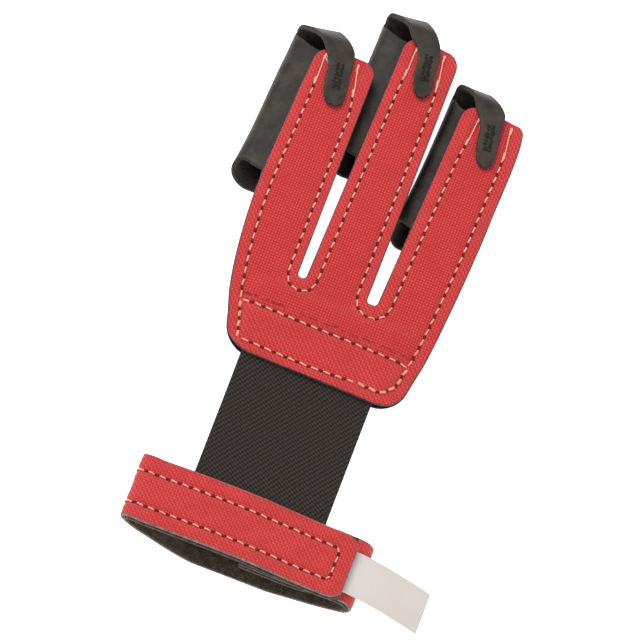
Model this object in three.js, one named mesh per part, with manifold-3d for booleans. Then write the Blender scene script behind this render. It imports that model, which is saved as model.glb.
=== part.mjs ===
import * as THREE from 'three';
import Module from 'manifold-3d';

const wasm = await Module();
wasm.setup();

// Archery glove lying palm side down, in millimetres. X runs across the fingers, Y from the wrist end
// of the back panel toward the fingertips, and Z up from the surface that the glove lies on.

// Gap that touching pieces keep
const clearance = 0.3;

// Back panel, with one strap for each finger
const panelWidth = 73;
const panelLength = 107;
const middleReach = 14.5;
const hemTilt = 1.8;
const hemCorner = 8;
const webHeight = 29.7;
const slotWidth = 3.5;
const strapCorner = 4.3;
const fabricThickness = 1;
const liningThickness = 1;
const liningShow = 0.4;
const wristEndLift = 5;
const strapCamber = 0.8;

// Leather finger stalls
const leatherThickness = 1.6;
const stallHeight = 13;
const stallLength = 49.8;
const mouthLip = 7;
const rimReach = 1.8;
const seamInset = 4;
const sideBulge = 9;
const flangeGap = 2.2;
const capReach = 8.4;
const tabLength = 19;

// Elastic between the back panel and the wrist strap
const elasticWidth = 44.2;
const elasticThickness = 1.2;
const elasticSpan = 48.5;
const elasticInPanel = 20;
const elasticInStrap = 19;
const pocketRamp = 5;

// Wrist strap, a flattened loop whose front end lies over its other end
const strapWidth = 22.4;
const strapThickness = 1;
const loopWidth = 79;
const loopHeight = 17.2;
const frontOverhang = 4.6;
const foldBackReach = 33;
const strapEndCorner = 5.5;
const patchLength = 22;
const patchThickness = 1;
const strapSkew = 1.4;

// Tag under the strap's front end
const labelWidth = 14.5;
const labelLength = 31.5;
const labelThickness = 1;
const labelTucked = 5.5;
const labelDrop = 7.5;
const labelTurn = 1.2;

// Numbers of cells, samples and steps in the meshes
const strapCells = 6;
const sectionSamples = 2;
const tubeSteps = 9;
const loopSteps = 54;
const loopFineness = 8;
const bandCells = 4;
const elasticSteps = [6, 8, 2];
const labelSteps = 8;

// Share of a slot's half width that its rounded end closes
const slotEnd = 0.6;

const halfPanel = panelWidth / 2;
const halfElastic = elasticWidth / 2;
const halfLeather = leatherThickness / 2;

// Half widths of the back panel as shares of half its width, at shares of its length
const panelOutline = [
  { at: 0, left: 0.775, right: 0.83 },
  { at: 0.09, left: 0.83, right: 0.87 },
  { at: 0.19, left: 0.912, right: 0.923 },
  { at: 0.34, left: 0.975, right: 0.964 },
  { at: 0.51, left: 1, right: 0.995 },
  { at: 0.72, left: 0.978, right: 1.014 },
  { at: 0.92, left: 0.948, right: 1.027 },
  { at: 1.02, left: 0.92, right: 0.99 },
];

// Slots between the straps: places as shares of half the panel's width, widths as shares of the slot width
const slots = [
  { centre: -0.353, lean: 0.033, web: 0.9, tip: 1.5 },
  { centre: 0.3, lean: 0.056, web: 1.1, tip: 2 },
];

// Fingers: reach as a share of middleReach, slope of the strap's tip as a share of its half width,
// its right corner as a share of strapCorner, side bulges at tip and mouth as shares of sideBulge,
// and length as a share of stallLength. Tab and cap are how far these stand to the right, as shares
// of half the strap's width, and capLeft and capRight the cap's reaches as shares of capReach.
const fingers = [
  {
    name: 'index', reach: 0.05, slope: 0, corner: 1, tipBulge: 0.9, mouthBulge: 1.15, length: 1,
    tab: -0.09, cap: 0, capLeft: 1, capRight: 1,
  },
  {
    name: 'middle', reach: 1, slope: -0.06, corner: 1, tipBulge: 0.88, mouthBulge: 0.95, length: 0.95,
    tab: 0.03, cap: -0.02, capLeft: 1.2, capRight: 1.07,
  },
  {
    name: 'ring', reach: -0.05, slope: -0.07, corner: 0.5, tipBulge: 0.47, mouthBulge: 0.8, length: 0.98,
    tab: 0.11, cap: 0.13, capLeft: 1.25, capRight: 0.95,
  },
];

// Section of a stall, from its right edge round under the finger and up to its turn under the strap's
// left side. Right rows stand in from the strap's right edge by shares of the seam inset, as the turn
// does from its left edge, where up is the drop in shares of flangeGap. Left rows stand out by
// shares of the side bulge. Up is a share of the seam's height, lip of the mouth's lip, and rim of
// the reach of the tube's far end beyond the strap's tip.
const sectionRows = [
  { side: 'right', out: -0.05, up: 1, lip: 0.55, rim: -2.2 },
  { side: 'right', out: -1, up: 1, lip: 0.6, rim: -0.7 },
  { side: 'right', out: -1.4, up: 0.78, lip: 0.75, rim: 0.2 },
  { side: 'right', out: -1.35, up: 0.4, lip: 0.9, rim: 0.7 },
  { side: 'right', out: -1.8, up: 0.08, lip: 0.97, rim: 1 },
  { side: 'right', out: -2.9, up: 0, lip: 1, rim: 1 },
  { side: 'left', out: -0.1, up: 0, lip: 1, rim: 1.3 },
  { side: 'left', out: 0.5, up: 0, lip: 0.97, rim: 1.9 },
  { side: 'left', out: 0.9, up: 0.2, lip: 0.75, rim: 2.5 },
  { side: 'left', out: 1, up: 0.42, lip: 0.4, rim: 2.6 },
  { side: 'left', out: 0.8, up: 0.64, lip: 0.1, rim: 1.7 },
  { side: 'under', out: -0.12, up: 1, lip: 0.35, rim: 0.4 },
  { side: 'turn', out: 1.15, up: 0.4, lip: 0.4, rim: 0 },
];
const capFirst = 5;
const capLast = 9;

// Fingertip cap: its right and left cut edges, row by row from the tube up and back over the strap.
// Reach is a share of capReach, up of the tab's height, right x of half the strap's width,
// left x of that and the bulge together, and sag lowers the middle by a share of the stall's height.
const capRows = [
  { rightX: -0.2, rightReach: 0.42, rightUp: 0.03, leftX: -1.01, leftReach: 0.66, leftUp: 0.34, sag: 0.12 },
  { rightX: -0.3, rightReach: 0.7, rightUp: 0.13, leftX: -1.01, leftReach: 0.78, leftUp: 0.4, sag: 0.12 },
  { rightX: -0.45, rightReach: 0.92, rightUp: 0.33, leftX: -0.98, leftReach: 0.83, leftUp: 0.47, sag: 0.06 },
  { rightX: -0.57, rightReach: 1, rightUp: 0.56, leftX: -0.91, leftReach: 0.79, leftUp: 0.55, sag: 0.02 },
  { rightX: -0.37, rightReach: 0.76, rightUp: 0.77, leftX: -0.76, leftReach: 0.62, leftUp: 0.75, sag: 0 },
  { rightX: -0.11, rightReach: 0.42, rightUp: 0.93, leftX: -0.59, leftReach: 0.36, leftUp: 0.94, sag: 0 },
  { rightX: 0.12, rightReach: 0.06, rightUp: 1, leftX: -0.45, leftReach: -0.02, leftUp: 1, sag: 0 },
];

// Tab on the strap: edges as shares of half the strap's width, at shares of the tab's length
const tabRows = [
  { at: 0.16, left: -0.55, right: 0.25 },
  { at: 0.36, left: -0.4, right: 0.28 },
  { at: 0.56, left: -0.36, right: 0.33 },
  { at: 0.76, left: -0.27, right: 0.38 },
  { at: 0.91, left: -0.16, right: 0.36 },
  { at: 1, left: 0.02, right: 0.2 },
];

// Centre line of the wrist loop from its front end round the left fold and back under itself:
// x as a share of half the loop's width, up as a share of its height, skew of strapSkew
const loopRows = [
  { x: 0.5, up: 1, skew: -0.7 },
  { x: 0, up: 1, skew: 0 },
  { x: -0.62, up: 1, skew: 0 },
  { x: -0.82, up: 0.985, skew: 0 },
  { x: -0.935, up: 0.945, skew: 0.3 },
  { x: -0.99, up: 0.86, skew: 0.5 },
  { x: -0.995, up: 0.75, skew: 0.6 },
  { x: -0.955, up: 0.63, skew: 0.5 },
  { x: -0.86, up: 0.5, skew: 0.3 },
  { x: -0.73, up: 0.36, skew: 0.2 },
  { x: -0.57, up: 0.2, skew: 0 },
  { x: -0.42, up: 0.06, skew: 0 },
  { x: -0.32, up: 0, skew: 0 },
  { x: -0.24, up: 0, skew: 0 },
  { x: 0.24, up: 0, skew: 0 },
  { x: 0.32, up: 0, skew: 0 },
  { x: 0.5, up: 0.05, skew: 0.2 },
  { x: 0.7, up: 0.15, skew: 0.2 },
  { x: 0.86, up: 0.27, skew: 0.1 },
  { x: 0.965, up: 0.41, skew: -0.1 },
  { x: 1, up: 0.56, skew: 0.1 },
];

// Share of the way from one end of a smooth ramp to the other
function ramp(from, to, value) {
  return THREE.MathUtils.smoothstep((value - from) / (to - from), 0, 1);
}

// Smooth value of one column of a table at a place along it
function lookUp(table, place, column) {
  const last = table.length - 1;
  const at = THREE.MathUtils.clamp(place, table[0].at, table[last].at);
  const row = Math.max(0, Math.min(last - 1, table.findIndex((entry) => entry.at >= at) - 1));
  const slope = (k) => {
    const before = table[Math.max(k - 1, 0)];
    const after = table[Math.min(k + 1, last)];
    return (after[column] - before[column]) / (after.at - before.at);
  };
  const step = table[row + 1].at - table[row].at;
  const t = (at - table[row].at) / step;
  const start = table[row][column] * (2 * t ** 3 - 3 * t ** 2 + 1);
  const end = table[row + 1][column] * (3 * t ** 2 - 2 * t ** 3);
  const leave = slope(row) * step * (t ** 3 - 2 * t ** 2 + t);
  const arrive = slope(row + 1) * step * (t ** 3 - t ** 2);
  return start + leave + end + arrive;
}

// How far a rounded corner stands in at a distance from the end of a straight edge
function cornerInset(distance, radius) {
  const short = Math.max(0, radius - distance);
  return radius - Math.sqrt(Math.max(0, radius ** 2 - short ** 2));
}

// Closed solid of one thickness round a grid of points. A missing point leaves its cells out.
function sheet(grid, thickness) {
  const place = new Map();
  const points = [];
  const cells = [];
  const number = (row, column) => {
    const key = row * grid[0].length + column;
    if (!place.has(key)) {
      place.set(key, points.length);
      points.push(grid[row][column]);
    }
    return place.get(key);
  };
  for (let row = 0; row + 1 < grid.length; row += 1) {
    for (let column = 0; column + 1 < grid[0].length; column += 1) {
      const corners = [[row, column], [row, column + 1], [row + 1, column + 1], [row + 1, column]];
      if (corners.every(([r, c]) => grid[r][c])) cells.push(corners.map(([r, c]) => number(r, c)));
    }
  }
  const normals = points.map(() => new THREE.Vector3());
  const borders = new Map();
  for (const cell of cells) {
    const across = points[cell[2]].clone().sub(points[cell[0]]);
    const normal = across.cross(points[cell[3]].clone().sub(points[cell[1]]));
    cell.forEach((corner, k) => {
      const next = cell[(k + 1) % 4];
      normals[corner].add(normal);
      if (!borders.delete(`${next} ${corner}`)) borders.set(`${corner} ${next}`, [corner, next]);
    });
  }
  normals.forEach((normal) => normal.setLength(thickness / 2));
  const upper = points.map((point, k) => point.clone().add(normals[k]));
  const lower = points.map((point, k) => point.clone().sub(normals[k]));
  const count = points.length;
  const faces = [];
  for (const [a, b, c, d] of cells) {
    faces.push([a, b, c], [a, c, d], [a + count, c + count, b + count], [a + count, d + count, c + count]);
  }
  for (const [a, b] of borders.values()) {
    faces.push([a, a + count, b + count], [a, b + count, b]);
  }
  const geometry = new THREE.BufferGeometry();
  geometry.setFromPoints([...upper, ...lower]);
  geometry.setIndex(faces.flat());
  return geometry;
}

// One body from several overlapping ones
function joined(geometries) {
  const solids = geometries.map((geometry) => new wasm.Manifold(new wasm.Mesh({
    numProp: 3,
    vertProperties: new Float32Array(geometry.attributes.position.array),
    triVerts: new Uint32Array(geometry.index.array),
  })));
  const mesh = solids.reduce((whole, solid) => whole.add(solid)).getMesh();
  const geometry = new THREE.BufferGeometry();
  geometry.setAttribute('position', new THREE.BufferAttribute(mesh.vertProperties, 3));
  geometry.setIndex(new THREE.BufferAttribute(mesh.triVerts, 1));
  return geometry;
}

// Left and right edges of each finger's strap at a height along the panel
function strapEdges(y) {
  const share = y / panelLength;
  const along = THREE.MathUtils.clamp((y - webHeight) / (panelLength - webHeight), 0, 1.2);
  const edges = [-halfPanel * lookUp(panelOutline, share, 'left')];
  for (const slot of slots) {
    const centre = halfPanel * (slot.centre + slot.lean * along);
    const half = (slotWidth / 2) * THREE.MathUtils.lerp(slot.web, slot.tip, along);
    edges.push(centre - half, centre + half);
  }
  edges.push(halfPanel * lookUp(panelOutline, share, 'right'));
  return fingers.map((finger, k) => [edges[2 * k], edges[2 * k + 1]]);
}

function tipOf(k) {
  return panelLength + middleReach * fingers[k].reach;
}

// Place across a strap, from -1 at its left edge to 1 at its right edge
function acrossStrap(k, x, y) {
  const [left, right] = strapEdges(y)[k];
  return (2 * x - left - right) / (right - left);
}

// Height of the underside of the panel's lining, each strap a little lower at its edges
function panelUnderside(k, x, y) {
  const stallEnd = panelLength - stallLength;
  const top = stallHeight + clearance;
  const height = THREE.MathUtils.lerp(wristEndLift, top, ramp(-0.15 * panelLength, stallEnd, y));
  return height - strapCamber * ramp(webHeight, stallEnd, y) * acrossStrap(k, x, y) ** 2;
}

// Height by which the fabric stands up over the end of the elastic
function pocketLift(x, y) {
  const edge = halfElastic + pocketRamp / 3;
  const top = elasticInPanel + pocketRamp / 2;
  const sides = 1 - ramp(edge, edge + pocketRamp, Math.abs(x));
  return (elasticThickness + clearance) * sides * (1 - ramp(top, top + pocketRamp, y));
}

// Height of the top of the panel's fabric
function panelTop(k, x, y) {
  const layers = liningThickness + clearance + fabricThickness;
  return panelUnderside(k, x, y) + layers + pocketLift(x, y);
}

// Left and right end of a strap's row: straight edges, rounded hem and tip corners, and slots
// that narrow to a rounded end. The margin grows the panel all round.
function strapSpan(k, y, margin) {
  const [left, right] = strapEdges(y)[k];
  const [leftTip, rightTip] = [1, fingers[k].corner].map((share) => (
    cornerInset(tipOf(k) + margin - y, share * strapCorner)
  ));
  const hem = cornerInset(y, hemCorner);
  const short = THREE.MathUtils.clamp(1 - (y - webHeight) / (slotWidth / 2), 0, 1);
  const web = slotEnd * (slotWidth / 2) * short ** 2;
  const leftGrow = margin - leftTip + (k === 0 ? -hem : web);
  const rightGrow = margin - rightTip + (k === fingers.length - 1 ? -hem : web);
  return [left - leftGrow, right + rightGrow];
}

// Places from 0 to a length, with fine steps near a rounded start and a rounded end
function stations(length, startRadius, endRadius, steps) {
  const fine = [0, 0.12, 0.45];
  const from = Math.max(0, startRadius);
  const to = length - endRadius;
  const places = startRadius ? fine.map((share) => share * startRadius) : [];
  for (let step = 0; step <= steps; step += 1) places.push(from + ((to - from) * step) / steps);
  if (endRadius) fine.reverse().forEach((share) => places.push(length - share * endRadius));
  return places;
}

// Grid of the back panel: rows from the hem to the straps' tips, columns across the straps, with a
// point between two straps only as far as the slots' ends
function panelGrid(heightOf, margin) {
  const grid = [];
  const addRow = (placeOf, joinedStraps) => {
    const row = [];
    fingers.forEach((finger, k) => {
      const [y, span] = placeOf(k);
      for (let cell = 0; cell <= strapCells; cell += 1) {
        const x = THREE.MathUtils.lerp(span[0], span[1], cell / strapCells);
        const place = y(x);
        row.push(new THREE.Vector3(x, place, heightOf(k, x, place)));
      }
      row.push(null);
    });
    if (joinedStraps) {
      for (let k = 0; k + 1 < fingers.length; k += 1) {
        const gap = (k + 1) * (strapCells + 2) - 1;
        row[gap] = row[gap - 1].clone().lerp(row[gap + 1], 0.5);
      }
    }
    grid.push(row);
  };
  for (const place of stations(webHeight, hemCorner, 0, 5)) {
    const hemAt = (x) => -margin - (hemTilt * x) / panelWidth;
    const y = (x) => THREE.MathUtils.lerp(hemAt(x), webHeight, place / webHeight);
    addRow((k) => [y, strapSpan(k, place, margin)], true);
  }
  for (const share of stations(1, 0.03, 0.06, 11).slice(1)) {
    addRow((k) => {
      const along = webHeight + share * (tipOf(k) + margin - webHeight);
      const span = strapSpan(k, along, margin);
      const slope = fingers[k].slope * share;
      return [(x) => along + slope * (x - (span[0] + span[1]) / 2), span];
    }, false);
  }
  return grid;
}

// Smooth closed-form curve through section rows, sampled evenly between each two
function through(points, samples) {
  const curve = new THREE.SplineCurve(points);
  const spans = points.length - 1;
  const places = [];
  for (let k = 0; k < spans; k += 1) {
    for (let step = 0; step < samples; step += 1) places.push((k + step / samples) / spans);
  }
  places.push(1);
  return places.map((place) => curve.getPoint(place));
}

// Where the leather lies under the strap's edges
function seamHeight(k, x, y) {
  return panelUnderside(k, x, y) - clearance - halfLeather;
}

// Section of a finger's stall at a height along the panel, as points in X and Z
function stallSection(k, y) {
  const tip = tipOf(k);
  const mouth = tip - stallLength * fingers[k].length;
  const [left, right] = strapEdges(Math.min(y, tip))[k];
  const bulge = sideBulge * lookUpBulge(k, (y - mouth) / (tip - mouth));
  return sectionRows.map(({ side, out, up }) => {
    if (side === 'turn' || side === 'under') {
      const x = side === 'turn' ? left + out * seamInset : left + out * bulge;
      return new THREE.Vector2(x, seamHeight(k, x, y) - up * flangeGap);
    }
    const x = side === 'right' ? right + out * seamInset : left - out * bulge;
    const top = seamHeight(k, THREE.MathUtils.clamp(x, left, right), y);
    return new THREE.Vector2(x, THREE.MathUtils.lerp(halfLeather, top, up));
  });
}

function lookUpBulge(k, share) {
  return THREE.MathUtils.lerp(fingers[k].tipBulge, fingers[k].mouthBulge, (1 - share) ** 4);
}

// Leather stall: tube, fingertip cap and tab in one sheet, and the turned edge under the strap's
// left side
function stallGeometry(k) {
  const tip = tipOf(k);
  const mouth = tip - stallLength * fingers[k].length;
  const ends = through(sectionRows.map((row) => new THREE.Vector2(row.lip, row.rim)), sectionSamples);
  const grid = [];
  for (let step = 0; step <= tubeSteps; step += 1) {
    const share = step / tubeSteps;
    const even = THREE.MathUtils.lerp(mouth + mouthLip, tip + rimReach, share);
    const section = through(stallSection(k, even), sectionSamples);
    grid.push(section.map((point, column) => {
      const back = mouthLip * ends[column].x * (1 - share) ** 2;
      const y = even - back - rimReach * (1 - ends[column].y) * share ** 4;
      return new THREE.Vector3(point.x, y, Math.max(point.y, halfLeather));
    }));
  }
  const first = capFirst * sectionSamples;
  const last = capLast * sectionSamples;
  const rowBetween = (right, leftEdge, sag) => grid[0].map((point, column) => {
    if (column < first || column > last) return null;
    const share = (column - first) / (last - first);
    const place = right.clone().lerp(leftEdge, share);
    place.z = Math.max(halfLeather, place.z - sag * stallHeight * Math.sin(Math.PI * share));
    return place;
  });
  const [left, right] = strapEdges(tip)[k];
  const centre = (left + right) / 2;
  const half = (right - left) / 2;
  const bulged = half + sideBulge * fingers[k].tipBulge;
  const tabRise = clearance + halfLeather;
  const tabHeight = panelTop(k, centre, tip) + tabRise - halfLeather;
  const { cap, capLeft, capRight } = fingers[k];
  for (const row of capRows) {
    const [rightY, leftY] = [row.rightReach * capRight, row.leftReach * capLeft].map((share) => (
      tip + share * capReach
    ));
    grid.push(rowBetween(
      new THREE.Vector3(centre + (row.rightX + cap) * half, rightY, halfLeather + row.rightUp * tabHeight),
      new THREE.Vector3(centre + row.leftX * bulged, leftY, halfLeather + row.leftUp * tabHeight),
      row.sag,
    ));
  }
  for (const row of tabRows) {
    const y = tip - row.at * tabLength;
    const edges = [row.right + fingers[k].tab / 2, row.left + fingers[k].tab].map((share) => {
      const x = centre + share * half;
      return new THREE.Vector3(x, y, panelTop(k, centre, y) + tabRise);
    });
    grid.push(rowBetween(edges[0], edges[1], 0));
  }
  const flange = [];
  for (let step = 0; step <= tubeSteps; step += 1) {
    const y = THREE.MathUtils.lerp(mouth + mouthLip / 4, tip - rimReach, step / tubeSteps);
    const edge = strapEdges(y)[k][0];
    flange.push([1.45 * seamInset, 0.7 * seamInset, -0.05 * seamInset].map((inset) => {
      const x = edge + inset;
      return new THREE.Vector3(x, y, seamHeight(k, x, y));
    }));
  }
  return joined([sheet(grid, leatherThickness), sheet(flange, leatherThickness)]);
}

// Length of each stretch of a path, added up
function lengthsAlong(path) {
  const lengths = [0];
  for (let k = 1; k < path.length; k += 1) lengths.push(lengths[k - 1] + path[k].distanceTo(path[k - 1]));
  return lengths;
}

// Path moved sideways by a distance for each point, to its left as it runs
function offsetPath(path, distanceAt) {
  return path.map((point, k) => {
    const before = path[Math.max(k - 1, 0)];
    const after = path[Math.min(k + 1, path.length - 1)];
    const along = new THREE.Vector2(after.x - before.x, after.y - before.y).normalize();
    const distance = distanceAt(point, k);
    return new THREE.Vector3(point.x - along.y * distance, point.y + along.x * distance, point.z);
  });
}

// Upper end of the wrist strap in Y, and its height at the front
const strapTop = -elasticSpan;
const frontHeight = loopHeight - strapThickness / 2;
const layerStep = strapThickness / 2 + clearance + liningThickness / 2;

const roomEdge = halfElastic + 2 * clearance;
const roomEnd = roomEdge + pocketRamp / 2;

// How far the lining of the front layer is lowered by the end of the elastic
function elasticRoom(x) {
  return (elasticThickness + clearance) * (1 - ramp(roomEdge, roomEnd, Math.abs(x)));
}

// Height of the layer that the fastener and the tag lie in, and of the end folded back under it
function patchHeight() {
  return frontHeight - layerStep - liningThickness / 2 - clearance - patchThickness / 2;
}

function foldBackHeight() {
  return patchHeight() - patchThickness / 2 - clearance - strapThickness / 2;
}

// Centre line of the red strap in X and Z, with its skew along Y kept in z
function loopPath() {
  const half = (loopWidth - strapThickness) / 2;
  const rise = loopHeight - strapThickness;
  const low = strapThickness / 2;
  const points = loopRows.map(({ x, up, skew }) => (
    new THREE.Vector3(x * half, low + up * rise, skew * strapSkew)
  ));
  points.unshift(new THREE.Vector3(half - frontOverhang, frontHeight, -strapSkew));
  const underFront = foldBackHeight();
  const fold = half - frontOverhang;
  const backSkew = 0.4 * strapSkew;
  points.push(new THREE.Vector3(fold + 0.6 * frontOverhang, low + 0.7 * rise, backSkew));
  points.push(new THREE.Vector3(fold - 0.6 * frontOverhang, underFront, backSkew));
  const backStart = halfElastic + pocketRamp / 2 + clearance;
  points.push(new THREE.Vector3(backStart, underFront, backSkew));
  const lowered = underFront - elasticThickness - clearance;
  points.push(new THREE.Vector3(halfElastic - clearance, lowered, backSkew));
  points.push(new THREE.Vector3(half - frontOverhang - foldBackReach, lowered, backSkew));
  const curve = new THREE.CatmullRomCurve3(points, false, 'centripetal');
  const fine = curve.getSpacedPoints(loopSteps * loopFineness);
  fine.forEach((point) => { point.y = Math.max(point.y, low); });
  const passes = (k, x) => k > 0 && (fine[k].x - x) * (fine[k - 1].x - x) <= 0;
  return fine.filter((point, k) => (
    k % loopFineness === 0 || [-roomEnd, -roomEdge, roomEdge, roomEnd].some((x) => passes(k, x))
  ));
}

// Centre line of the lining: inside the red strap, and lower where the elastic lies between them
function liningPath(path, overElastic) {
  const isFront = (point, k) => overElastic && k < path.length / 2 && point.y > loopHeight / 2;
  return offsetPath(path, (point, k) => layerStep + (isFront(point, k) ? elasticRoom(point.x) : 0));
}

// Band that follows a path in X and Z, across the strap's width and a margin, its start rounded.
// Its last column, past the end of the elastic, follows a path of its own.
function bandGrid(path, edgePath, margin, startCorner) {
  const lengths = lengthsAlong(path);
  const shares = [0, 1, 2, 3].map((column) => (column / 3) * ((elasticInStrap + 1) / strapWidth));
  return path.map((point, k) => {
    const inset = cornerInset(lengths[k] + 0.15 * startCorner, startCorner) - margin;
    return [...shares, 1].map((share) => {
      const { x, y, z } = share < 1 ? point : edgePath[k];
      return new THREE.Vector3(x, strapTop + z - THREE.MathUtils.lerp(inset, strapWidth - inset, share), y);
    });
  });
}

// Elastic from its end inside the back panel up to the front layer of the wrist strap
function elasticGrid() {
  const panelPlace = liningThickness + clearance + elasticThickness / 2;
  const strapPlace = frontHeight - strapThickness / 2 - clearance - elasticThickness / 2;
  const grid = [];
  const bends = [elasticInPanel, -hemTilt, strapTop + hemTilt, strapTop - elasticInStrap];
  const places = [bends[0]];
  for (let k = 0; k + 1 < bends.length; k += 1) {
    for (let step = 1; step <= elasticSteps[k]; step += 1) {
      places.push(THREE.MathUtils.lerp(bends[k], bends[k + 1], step / elasticSteps[k]));
    }
  }
  for (const y of places) {
    const row = [];
    for (let cell = 0; cell <= bandCells; cell += 1) {
      const x = THREE.MathUtils.lerp(-halfElastic, halfElastic, cell / bandCells);
      const inPanel = panelUnderside(1, 0, Math.max(y, -hemTilt)) + panelPlace;
      const z = THREE.MathUtils.lerp(inPanel, strapPlace, ramp(-hemTilt, strapTop + hemTilt, y));
      row.push(new THREE.Vector3(x, y, z));
    }
    grid.push(row);
  }
  return grid;
}

// Flat patch of the touch fastener between the two overlapping ends of the strap
function patchGrid() {
  const height = patchHeight() - elasticThickness - clearance;
  const inset = 2;
  const grid = [];
  for (const x of [halfElastic - clearance - patchLength, halfElastic - clearance]) {
    grid.push([inset, strapWidth - inset].map((across) => (
      new THREE.Vector3(x, strapTop - strapSkew / 2 - across, height)
    )));
  }
  return grid;
}

// Tag from under the strap's front end out over the folded-back end and down
function labelGrid() {
  const start = loopWidth / 2 - frontOverhang - labelTucked;
  const middle = strapTop - strapWidth / 2 - strapSkew / 2;
  const grid = [];
  for (let step = 0; step <= labelSteps; step += 1) {
    const share = step / labelSteps;
    const x = start + share * labelLength;
    const free = Math.max(0, (x - start - labelTucked) / (labelLength - labelTucked));
    const height = patchHeight() - labelDrop * free ** 1.6;
    const y = middle - labelTurn * free;
    grid.push([-0.5, 0, 0.5].map((across) => new THREE.Vector3(x, y + across * labelWidth, height)));
  }
  return grid;
}

const group = new THREE.Group();

function add(name, geometry, color, roughness) {
  const material = new THREE.MeshStandardMaterial({ color, roughness, metalness: 0 });
  const mesh = new THREE.Mesh(geometry, material);
  mesh.name = name;
  group.add(mesh);
}

const liningMiddle = liningThickness / 2;
const fabricMiddle = liningThickness + clearance + fabricThickness / 2;
add('dorsal_lining', sheet(
  panelGrid((k, x, y) => panelUnderside(k, x, y) + liningMiddle, liningShow),
  liningThickness,
), 0x26262a, 0.95);
add('dorsal_fabric', sheet(
  panelGrid((k, x, y) => panelUnderside(k, x, y) + pocketLift(x, y) + fabricMiddle, 0),
  fabricThickness,
), 0xc5303a, 0.85);
fingers.forEach((finger, k) => add(`stall_${finger.name}`, stallGeometry(k), 0x3b3936, 0.6));

const loop = loopPath();
add('wrist_strap', sheet(bandGrid(loop, loop, 0, strapEndCorner), strapThickness), 0xc5303a, 0.85);
add('wrist_lining', sheet(
  bandGrid(liningPath(loop, true), liningPath(loop, false), liningShow, strapEndCorner),
  liningThickness,
), 0x3a332d, 0.98);
add('elastic_band', sheet(elasticGrid(), elasticThickness), 0x1b1b1d, 0.9);
add('closure_patch', sheet(patchGrid(), patchThickness), 0x1f1f21, 0.9);
add('label_tag', sheet(labelGrid(), labelThickness), 0xf2f2ee, 0.45);

// The origin is at the middle of the bottom of the whole glove's box
const box = new THREE.Box3().setFromObject(group);
const origin = box.getCenter(new THREE.Vector3()).setZ(box.min.z);
group.children.forEach((mesh) => mesh.position.sub(origin));

export default group;
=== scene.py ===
"""Archery glove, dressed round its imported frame: woven cloth, leather stalls, stitches and elastic."""
import math

import bpy
import numpy as np
from mathutils import Matrix, Vector
from mathutils.kdtree import KDTree


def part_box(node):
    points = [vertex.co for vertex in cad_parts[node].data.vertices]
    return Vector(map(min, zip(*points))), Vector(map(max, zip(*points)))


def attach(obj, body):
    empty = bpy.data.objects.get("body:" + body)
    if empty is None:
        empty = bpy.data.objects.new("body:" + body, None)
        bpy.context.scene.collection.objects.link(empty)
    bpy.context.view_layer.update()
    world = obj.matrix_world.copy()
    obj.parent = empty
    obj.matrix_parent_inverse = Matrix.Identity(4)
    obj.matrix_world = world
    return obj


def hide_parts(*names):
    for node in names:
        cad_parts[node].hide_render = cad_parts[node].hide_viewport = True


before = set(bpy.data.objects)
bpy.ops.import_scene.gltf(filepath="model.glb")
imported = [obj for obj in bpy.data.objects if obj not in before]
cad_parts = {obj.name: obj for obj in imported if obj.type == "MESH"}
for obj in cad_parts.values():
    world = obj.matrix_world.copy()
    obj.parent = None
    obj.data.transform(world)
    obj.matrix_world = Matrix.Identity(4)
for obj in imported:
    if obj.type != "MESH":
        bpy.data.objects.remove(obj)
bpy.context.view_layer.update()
dice = np.random.default_rng(11)

# Sizes are in millimetres on the part's own axes: X across the fingers, Y from the wrist end of the
# back panel toward the fingertips, and Z up from the surface that the glove lies on.

# Back panel
panel_width = 73
panel_length = 107
middle_reach = 14.5
hem_tilt = 1.8
hem_corner = 8
web_height = 29.7
slot_width = 3.5
strap_corner = 4.3
cloth = 1
lining_show = 0.4
wrist_end_lift = 5
strap_camber = 0.8
clearance = 0.3

# Leather finger stalls
leather = 1.6
stall_height = 13
stall_length = 49.8
mouth_lip = 7
rim_reach = 1.8
seam_inset = 4
side_bulge = 9
flange_gap = 2.2
cap_reach = 8.4
tab_length = 19

# Elastic
elastic_width = 44.2
elastic_thickness = 1.2
elastic_span = 48.5
elastic_in_panel = 20
elastic_in_strap = 19
pocket_ramp = 5

# Wrist strap
strap_width = 22.4
loop_width = 79
loop_height = 17.2
front_overhang = 4.6
fold_back_reach = 33
strap_end_corner = 5.5
patch_length = 22
strap_skew = 1.4

# Tag
label_width = 14.5
label_length = 31.5
label_tucked = 5.5
label_drop = 7.5
label_turn = 1.2

# Stitches
stitch_pitch = 3.8
stitch_gap = 1.4
stitch_slant = 0.13
thread_width = 0.56
stitch_rise = 0.42
stitch_dip = 0.2
double_gap = 1.2
double_slant = 0.2
double_width = 0.95
double_rise = 0.5
hole_width = 0.8
hole_rise = 0.3
tack_dip = 0.1
thread_sides = 8
thread_twist = 2.5
thread_flatness = 0.8
groove_depth = 0.42
groove_width = 0.85

# Weave of the red cloth, and the worn fold across the panel, with painted shade along its line
weave_pitch = 0.9
fold_place = 18.1
fold_slope = -0.024

# Cells of the fine meshes
fabric_cell = 0.62
lining_cell = 1.3

half_panel = panel_width / 2
half_elastic = elastic_width / 2
half_leather = leather / 2

# Half widths of the panel as shares of half its width, at shares of its length
panel_outline = {
    "at": (0, 0.09, 0.19, 0.34, 0.51, 0.72, 0.92, 1.02),
    "left": (0.775, 0.83, 0.912, 0.975, 1, 0.978, 0.948, 0.92),
    "right": (0.83, 0.87, 0.923, 0.964, 0.995, 1.014, 1.027, 0.99),
}

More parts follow.
